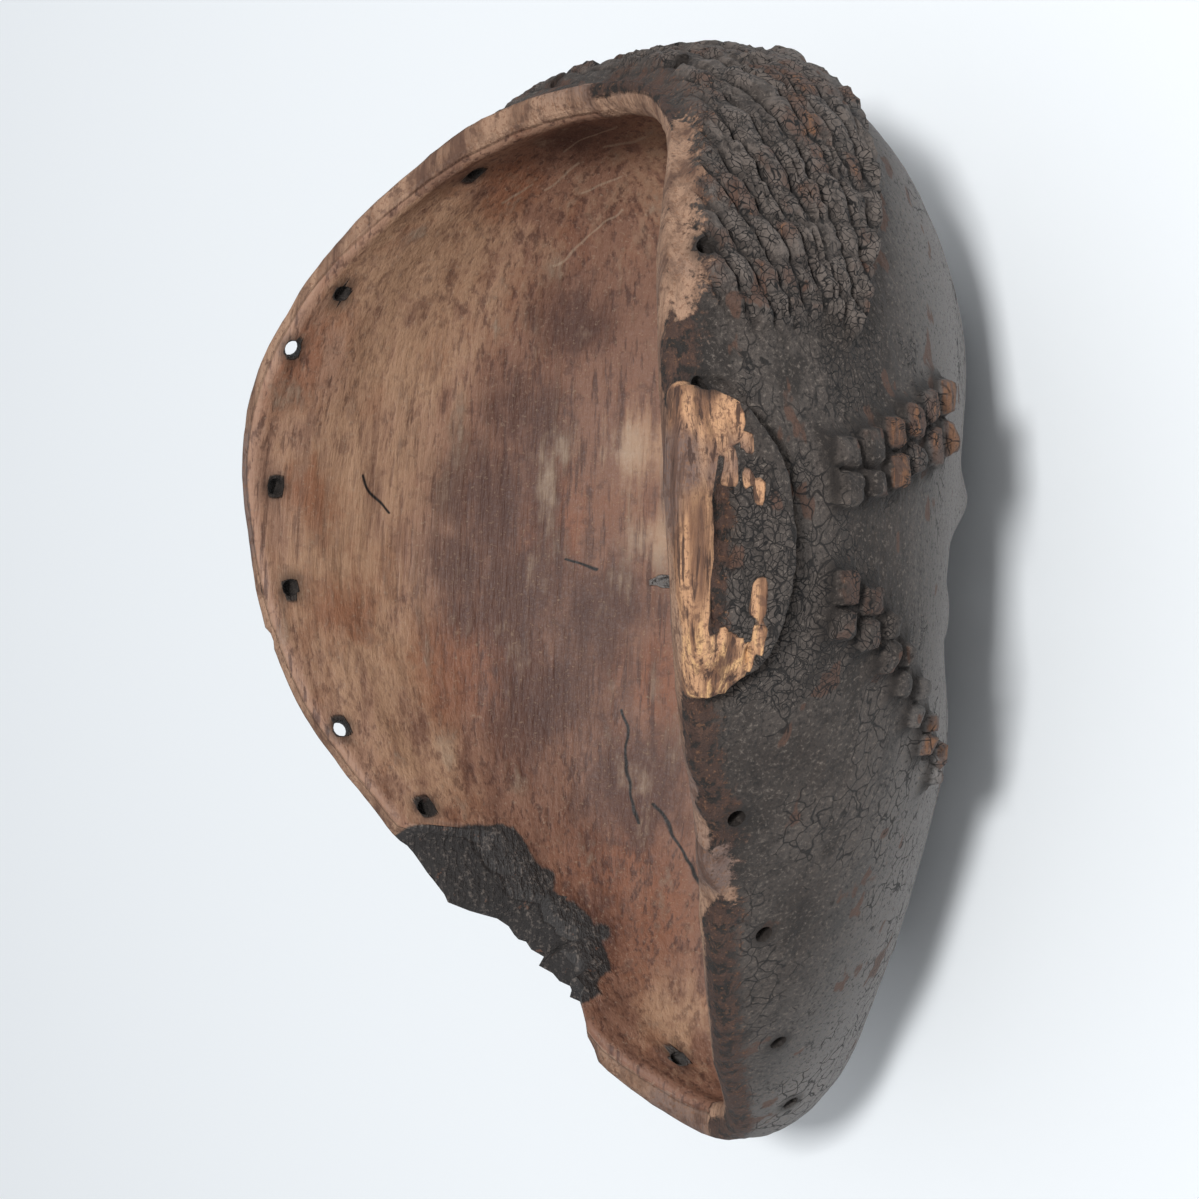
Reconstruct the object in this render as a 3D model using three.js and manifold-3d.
// A carved wooden face mask, hollow behind, lying on its forehead and the tip of its nose.
// X points to the mask's proper right, Y to the crown, and Z up, out of the open back.
// The carving is worked out round the axis of the face, and the origin is set at the end, on the
// table under the middle of the mask.
// The shell is a set of meridians that run from the open rim, over the widest line of the
// head, to one point at the bridge of the nose.
import * as THREE from 'three';
import { mergeVertices } from 'three/addons/utils/BufferGeometryUtils.js';
import Module from 'manifold-3d';

const wasm = await Module();
wasm.setup();

// Driving dimensions, in millimetres and degrees.
// "Lift" is the angle round the rim: -90 at the chin, 0 beside the eye, 90 at the crown.
const stationStep = 22.5;
const rimRadius = [133, 111.5, 95.5, 92.5, 95.5, 98.5, 106, 114.5, 115];
const rimHeight = [56, 84, 106, 125, 136.5, 140, 131, 113, 102];
const bridge = { y: 3, z: 9 };
const fullness = { chin: 0, side: 2.5, crown: 9 };
const sideBand = { chin: 10, side: 32, crown: 34 };
const roundness = { chin: 2.4, side: 1.64, crown: 2.25 };
const wall = { atRim: 8.5, atFace: 11 };
const rimRise = 3;
const levelTop = 137;
const levelBottom = 56;
const chinLevel = 20;

// Sizes of the carving
const coiffure = { height: 2.2, tuft: 2.4, pitch: 8.1, frontAtCrown: 57, frontRise: 31, lowest: 62 };
const ear = { y: 14, halfLength: 33, front: 114.5, back: 140, height: 6 };
const earBreak = { from: 128, leftOnRight: 0.8, leftOnLeft: 2.4 };
const brokenJaw = {
  outer: { drop: 15, top: -53.5, topRun: 4.5, bottom: -78, bottomRun: 8 },
  inner: { drop: 24, top: -43, topRun: 3, bottom: -76, bottomRun: 14 },
};
const tieHoleDiameter = 4.2;
const eyeSlit = { x: 36, y: 3, halfLength: 13, halfHeight: 2.3 };
const block = { length: 15, width: 6.4, sunk: 2, proud: 2.6, taper: 0.76 };
const blockRow = {
  upper: { count: 6, turn: 17, turnBy: 12.5, curve: 1.3, from: 99, to: 57, longer: 0.2 },
  lower: { count: 7, turn: 1.5, turnBy: -28, curve: 1.6, from: 99.5, to: 50, longer: -0.35 },
};

// The face: where each form is, how far it spreads to the sides and up and down, and its height
const face = {
  forehead: { x: 0, y: 66, across: 38, upDown: 34, height: 15.6 },
  brow: { y: 28, droop: 5, span: 30, upDown: 6, inner: 2, innerFull: 18, outerFull: 46, outer: 62,
    height: 3.8 },
  hollow: { x: 36, y: 5, across: 17, upDown: 13, height: -7.5 },
  lid: { x: 36, y: 3, across: 21, upDown: 12, height: 6.5 },
  nose: { top: 40, root: 34, bridge: 28, tip: -42, tipEnd: -46, end: -54, width: 7, widening: 6, height: 2,
    rise: 8.8 },
  wing: { x: 12, y: -44, across: 8.5, upDown: 10, height: 5.5 },
  cheek: { x: 46, y: -32, across: 20, upDown: 22, height: 2.5 },
  muzzle: { x: 0, y: -77, across: 28, upDown: 19, height: 5.5 },
  upperLip: { x: 0, y: -70, across: 25, upDown: 6, height: 4.4 },
  lowerLip: { x: 0, y: -82, across: 22, upDown: 6.5, height: 4.4 },
  chin: { x: 0, y: -107, across: 20, upDown: 13, height: 4.5 },
};

// The middle of the mask's box, which the origin lies under
const middle = { x: 0.38, y: 1.29 };

// Steps of the facets
const meridians = 88;
const sideRings = 20;
const frontRings = 20;
const fineFrontRings = 12;
const rimSteps = 3;
const innerRings = 8;

const degree = Math.PI / 180;

function smooth(edge0, edge1, value) {
  const t = Math.min(Math.max((value - edge0) / (edge1 - edge0), 0), 1);
  return t * t * (3 - 2 * t);
}

function bell(value, middle, width) {
  return Math.exp(-(((value - middle) / width) ** 2));
}

// A smooth line through the stations, level at the chin and at the crown
function atStation(values, lift) {
  const place = (lift + 90) / stationStep;
  const i = Math.min(Math.max(Math.floor(place), 0), values.length - 2);
  const t = place - i;
  const last = values.length - 1;
  const slope = (k) => (k === 0 || k === last ? 0 : (values[k + 1] - values[k - 1]) / 2);
  const start = values[i] * (2 * t ** 3 - 3 * t ** 2 + 1) + slope(i) * (t ** 3 - 2 * t ** 2 + t);
  const end = values[i + 1] * (3 * t ** 2 - 2 * t ** 3) + slope(i + 1) * (t ** 3 - t ** 2);
  return start + end;
}

function between(value, lift) {
  const s = Math.sin(lift * degree);
  return value.side + ((s < 0 ? value.chin : value.crown) - value.side) * s * s;
}

// How far the edge has dropped where a piece is broken out of the proper left side of the jaw
function jawDrop(edge, m) {
  if (m.right) return 0;
  const ragged = 1 + 0.08 * Math.sin(m.lift * 1.3) + 0.06 * Math.sin(m.lift * 2.9 + 1);
  const top = smooth(edge.top, edge.top - edge.topRun, m.lift);
  const bottom = smooth(edge.bottom, edge.bottom + edge.bottomRun, m.lift);
  return edge.drop * top * bottom * ragged;
}

// All that one meridian needs, for a turn in radians from +X towards +Y
function meridian(turn) {
  const lift = Math.asin(Math.sin(turn)) / degree;
  const right = Math.cos(turn) > 0;
  const radius = atStation(rimRadius, lift) + 0.7 * Math.sin(5 * turn + 0.6);
  const height = atStation(rimHeight, lift) + 0.9 * Math.sin(7 * turn + 2);
  const band = between(sideBand, lift);
  return {
    turn,
    lift,
    right,
    radius,
    height,
    band,
    bulge: between(fullness, lift),
    power: 2 / between(roundness, lift),
    widest: height - band,
  };
}

// The plain form: reach is 0 at the bridge of the nose, 1 at the widest line and 2 at the rim
function plainPoint(m, reach) {
  const a = Math.min(reach, 1) * 90 * degree;
  const b = Math.max(reach - 1, 0);
  const r = (m.radius + m.bulge) * Math.sin(a) ** m.power - m.bulge * b * b;
  const z = m.widest - (m.widest - bridge.z) * Math.max(Math.cos(a), 0) ** m.power + m.band * b;
  return new THREE.Vector3(r * Math.cos(m.turn), bridge.y + r * Math.sin(m.turn), z);
}

function reachAtHeight(m, z) {
  if (z >= m.widest) return 1 + (z - m.widest) / m.band;
  return Math.acos(((m.widest - z) / (m.widest - bridge.z)) ** (1 / m.power)) / (90 * degree);
}

function plainNormal(m, reach) {
  if (reach < 0.02) return new THREE.Vector3(0, 0, -1);
  const step = 0.004;
  const along = plainPoint(m, Math.min(reach + step, 2)).sub(plainPoint(m, reach - step));
  const around = plainPoint(meridian(m.turn + step), reach).sub(plainPoint(meridian(m.turn - step), reach));
  return around.cross(along).normalize();
}

// Rows of tufts round the head, raised above the brow line
function coiffureHeight(m, p) {
  const front = coiffure.frontAtCrown + coiffure.frontRise * (Math.abs(90 - m.lift) / 54) ** 1.8;
  const cap = smooth(front - 2, front + 1, p.z) * smooth(coiffure.lowest - 2, coiffure.lowest + 2, p.y);
  const depth = levelTop - p.z;
  const row = 0.5 - 0.5 * Math.cos((2 * Math.PI * depth) / coiffure.pitch);
  const stagger = Math.PI * Math.floor(depth / coiffure.pitch);
  const tuft = 0.5 - 0.5 * Math.cos((meridians / 2) * m.turn + stagger);
  const fromRim = smooth(0, 8, m.height - rimRise - p.z);
  return cap * (coiffure.height + coiffure.tuft * row * (0.35 + 0.65 * tuft)) * fromRim;
}

// The ears, half ovals against the rim; the back of the proper right one is broken away, and the back
// of the proper left one is worn down
function earHeight(m, p) {
  const oval = (Math.abs(p.y - ear.y) / ear.halfLength) ** 2.6;
  const back = (Math.abs(ear.back - p.z) / (ear.back - ear.front)) ** 3;
  const height = ear.height * smooth(1.15, 0.8, oval + back);
  const broken = smooth(earBreak.from - 2, earBreak.from + 2, p.z);
  const left = Math.min(height, m.right ? earBreak.leftOnRight : earBreak.leftOnLeft);
  return height + (left - height) * broken;
}

// A form of the face that fades away on all sides
function swell(form, x, y) {
  return form.height * bell(x, form.x, form.across) * bell(y, form.y, form.upDown);
}

// A low dome with a clear oval edge
function dome(form, x, y) {
  const oval = ((x - form.x) / form.across) ** 2 + ((y - form.y) / form.upDown) ** 2;
  return form.height * Math.max(1 - oval, 0) ** 0.8;
}

function browHeight(x, y) {
  const { brow } = face;
  const line = brow.y - brow.droop * ((x - brow.span) / brow.span) ** 2;
  const ends = smooth(brow.outer, brow.outerFull, x) * smooth(brow.inner, brow.innerFull, x);
  return brow.height * bell(y, line, brow.upDown) * ends;
}

function noseHeight(x, y) {
  const { nose } = face;
  const down = Math.min(Math.max((nose.root - y) / (nose.root - nose.tip), 0), 1);
  const ends = smooth(nose.end, nose.tipEnd, y) * smooth(nose.top, nose.bridge, y);
  return (nose.height + nose.rise * down ** 1.3) * bell(x, 0, nose.width + nose.widening * down) * ends;
}

// The face, in millimetres towards the front: a calm one with lowered lids and a straight nose
function faceHeight(p) {
  const x = Math.abs(p.x);
  let height = browHeight(x, p.y) + noseHeight(x, p.y);
  for (const form of [face.forehead, face.hollow, face.cheek, face.muzzle, face.chin]) {
    height += swell(form, x, p.y);
  }
  for (const form of [face.lid, face.wing, face.upperLip, face.lowerLip]) height += dome(form, x, p.y);
  return height;
}

// A point of the carved outer surface; what would pass below the table is worn flat there
function carvedPoint(m, reach) {
  const p = plainPoint(m, reach);
  const raised = coiffureHeight(m, p) + earHeight(m, p);
  const forward = faceHeight(p) * smooth(1, 0.8, reach);
  p.addScaledVector(plainNormal(m, reach), raised);
  p.z = Math.max(p.z - forward, 0);
  return p;
}

function innerPoint(m, reach) {
  const thickness = wall.atFace + (wall.atRim - wall.atFace) * smooth(0.4, 1.4, reach);
  return plainPoint(m, reach).addScaledVector(plainNormal(m, reach), -thickness);
}

function outerEdgeHeight(m) {
  return m.height - rimRise - jawDrop(brokenJaw.outer, m);
}

// Heights of the rings on the sides: level round the coiffure, in even shares elsewhere
function sideRingHeight(m, ring) {
  const edge = outerEdgeHeight(m);
  const share = ring / sideRings;
  if (m.lift >= stationStep) return Math.min(edge, levelTop + (levelBottom - levelTop) * share);
  const low = chinLevel + ((levelBottom - chinLevel) * (m.lift + 90)) / (stationStep + 90);
  return edge + (low - edge) * share;
}

// The rings of the closed shell, from the bridge of the nose outward, over the rim and back in
function shellGeometry() {
  const points = [];
  const triangles = [];
  const all = [];
  for (let i = 0; i < meridians; i++) all.push(meridian((2 * Math.PI * i) / meridians));
  const half = all.filter((m, i) => i % 2 === 0);
  const addRing = (list, place) => list.map((m) => points.push(place(m)) - 1);

  // Bands between two rings of equal or of double count, without the faces that have no area
  function addFace(a, b, c) {
    if (a !== b && b !== c && c !== a) triangles.push(a, b, c);
  }
  function bridgeRings(from, to) {
    const n = Math.max(from.length, to.length);
    const at = (ring, i) => ring[Math.floor(((i % n) * ring.length) / n)];
    for (let i = 0; i < n; i++) {
      const [a, b, c, d] = [at(from, i), at(from, i + 1), at(to, i + 1), at(to, i)];
      const split = points[a].distanceTo(points[c]) < points[b].distanceTo(points[d]);
      addFace(a, b, split ? c : d);
      addFace(split ? a : b, c, d);
    }
  }

  const nose = points.push(new THREE.Vector3(0, bridge.y, 0)) - 1;
  points[nose].copy(carvedPoint(all[0], 0));
  const lowReach = (m) => reachAtHeight(m, sideRingHeight(m, sideRings));
  let ring = null;
  for (let j = frontRings - 1; j >= 1; j--) {
    const list = j > fineFrontRings ? half : all;
    const next = addRing(list, (m) => carvedPoint(m, lowReach(m) * (1 - j / frontRings)));
    if (ring) bridgeRings(ring, next);
    else next.forEach((v, i) => addFace(nose, next[(i + 1) % next.length], v));
    ring = next;
  }
  const edge = all.map((m) => points.push(carvedPoint(m, reachAtHeight(m, outerEdgeHeight(m)))) - 1);
  for (let k = sideRings; k >= 0; k--) {
    const next = all.map((m, i) => {
      const z = sideRingHeight(m, k);
      if (outerEdgeHeight(m) - z < 1.2) return edge[i];
      return points.push(carvedPoint(m, reachAtHeight(m, z))) - 1;
    });
    bridgeRings(ring, next);
    ring = next;
  }

  // The rounded edge of the wall, with a bevelled break in it at the jaw
  const innerReach = (m) => reachAtHeight(m, m.height - rimRise - jawDrop(brokenJaw.inner, m));
  const innerEdge = all.map((m) => points.push(innerPoint(m, innerReach(m))) - 1);
  for (let step = 1; step < rimSteps; step++) {
    const turnOver = (Math.PI * step) / rimSteps;
    const next = all.map((m, i) => {
      const p = points[edge[i]].clone().lerp(points[innerEdge[i]], 0.5 - 0.5 * Math.cos(turnOver));
      p.z += rimRise * Math.sin(turnOver) ** 0.6;
      return points.push(p) - 1;
    });
    bridgeRings(ring, next);
    ring = next;
  }
  bridgeRings(ring, innerEdge);
  ring = innerEdge;
  for (let j = 1; j < innerRings; j++) {
    const next = half.map((m, i) => {
      const reach = reachAtHeight(m, m.height - rimRise) * (1 - j / innerRings);
      if (reach > innerReach(m) - 0.04) return innerEdge[2 * i];
      return points.push(innerPoint(m, reach)) - 1;
    });
    bridgeRings(ring, next);
    ring = next;
  }
  const back = points.push(innerPoint(all[0], 0)) - 1;
  ring.forEach((v, i) => addFace(v, ring[(i + 1) % ring.length], back));

  const geometry = new THREE.BufferGeometry();
  geometry.setAttribute('position', new THREE.Float32BufferAttribute(points.flatMap((p) => p.toArray()), 3));
  geometry.setIndex(triangles);
  return geometry;
}

function toSolid(geometry) {
  const plain = geometry.clone();
  plain.deleteAttribute('normal');
  plain.deleteAttribute('uv');
  const merged = mergeVertices(plain, 1e-4);
  return new wasm.Manifold(
    new wasm.Mesh({
      numProp: 3,
      vertProperties: new Float32Array(merged.attributes.position.array),
      triVerts: new Uint32Array(merged.index.array),
    }),
  );
}

function toGeometry(solid) {
  const mesh = solid.getMesh();
  const geometry = new THREE.BufferGeometry();
  geometry.setAttribute('position', new THREE.BufferAttribute(new Float32Array(mesh.vertProperties), 3));
  geometry.setIndex(new THREE.BufferAttribute(new Uint32Array(mesh.triVerts), 1));
  geometry.computeVertexNormals();
  return geometry;
}

// A frame on the plain surface at a height above the table: its point, its normal and +Y along it
function surfaceFrame(turnDegrees, z) {
  const m = meridian(turnDegrees * degree);
  const reach = reachAtHeight(m, z);
  const normal = plainNormal(m, reach);
  const along = new THREE.Vector3(0, 1, 0).addScaledVector(normal, -normal.y).normalize();
  const across = new THREE.Vector3().crossVectors(along, normal);
  return { point: carvedPoint(m, reach), basis: new THREE.Matrix4().makeBasis(across, along, normal) };
}

// One raised block of the keloid marks, as a tapered bar that is sunk a little into the surface
function blockGeometry(turnDegrees, z, length) {
  const frame = surfaceFrame(turnDegrees, z);
  const bar = new THREE.BoxGeometry(block.width, length, block.sunk + block.proud);
  const position = bar.attributes.position;
  for (let i = 0; i < position.count; i++) {
    if (position.getZ(i) < 0) continue;
    position.setX(i, position.getX(i) * block.taper);
    position.setY(i, position.getY(i) * (1 - (block.width * (1 - block.taper)) / length));
  }
  bar.translate(0, 0, (block.proud - block.sunk) / 2);
  bar.applyMatrix4(frame.basis);
  bar.translate(frame.point.x, frame.point.y, frame.point.z);
  return bar;
}

// Two rows of blocks on each side: one rises over the temple and one falls along the cheek
function blocks() {
  const list = [];
  for (const row of [blockRow.upper, blockRow.lower]) {
    for (let i = 0; i < row.count; i++) {
      const share = i / (row.count - 1);
      const turn = row.turn + row.turnBy * share ** row.curve;
      const z = row.from + (row.to - row.from) * share;
      const length = block.length * (1 + row.longer * share);
      for (const side of [turn, 180 - turn]) list.push(blockGeometry(side, z, length));
    }
  }
  return list;
}

// Tie holes round the edge: turn in degrees and depth below the rim
const tieHoles = [
  [101, 11], [76, 10], [43, 9], [27, 7], [-28, 9], [-47, 14], [-65, 17], [-77, 18],
  [117, 12], [138, 8], [148, 8], [168, 7], [184, 7], [206, 9], [221, 10], [260, 13],
];

function tieHoleGeometry([turnDegrees, depth]) {
  const m = meridian(turnDegrees * degree);
  const frame = surfaceFrame(turnDegrees, m.height - depth);
  const drill = new THREE.CylinderGeometry(tieHoleDiameter / 2, tieHoleDiameter / 2, 44, 6);
  drill.rotateX(90 * degree);
  drill.applyMatrix4(frame.basis);
  drill.translate(frame.point.x, frame.point.y, frame.point.z);
  return drill;
}

function eyeSlitGeometry(x) {
  const outline = new THREE.Shape();
  outline.absellipse(0, 0, eyeSlit.halfLength, eyeSlit.halfHeight, 0, 2 * Math.PI);
  const slit = new THREE.ExtrudeGeometry(outline, { depth: 60, bevelEnabled: false, curveSegments: 10 });
  slit.translate(x, eyeSlit.y, -2);
  return slit;
}

function maskGeometry() {
  let solid = toSolid(shellGeometry());
  for (const raised of blocks()) solid = solid.add(toSolid(raised));
  for (const place of tieHoles) solid = solid.subtract(toSolid(tieHoleGeometry(place)));
  for (const x of [-eyeSlit.x, eyeSlit.x]) solid = solid.subtract(toSolid(eyeSlitGeometry(x)));
  return toGeometry(solid).translate(-middle.x, -middle.y, 0);
}

const wood = new THREE.MeshStandardMaterial({ color: 0x4a4340, roughness: 0.85, metalness: 0 });
const mask = new THREE.Mesh(maskGeometry(), wood);
mask.name = 'mask';

const object = new THREE.Group();
object.add(mask);
export default object;
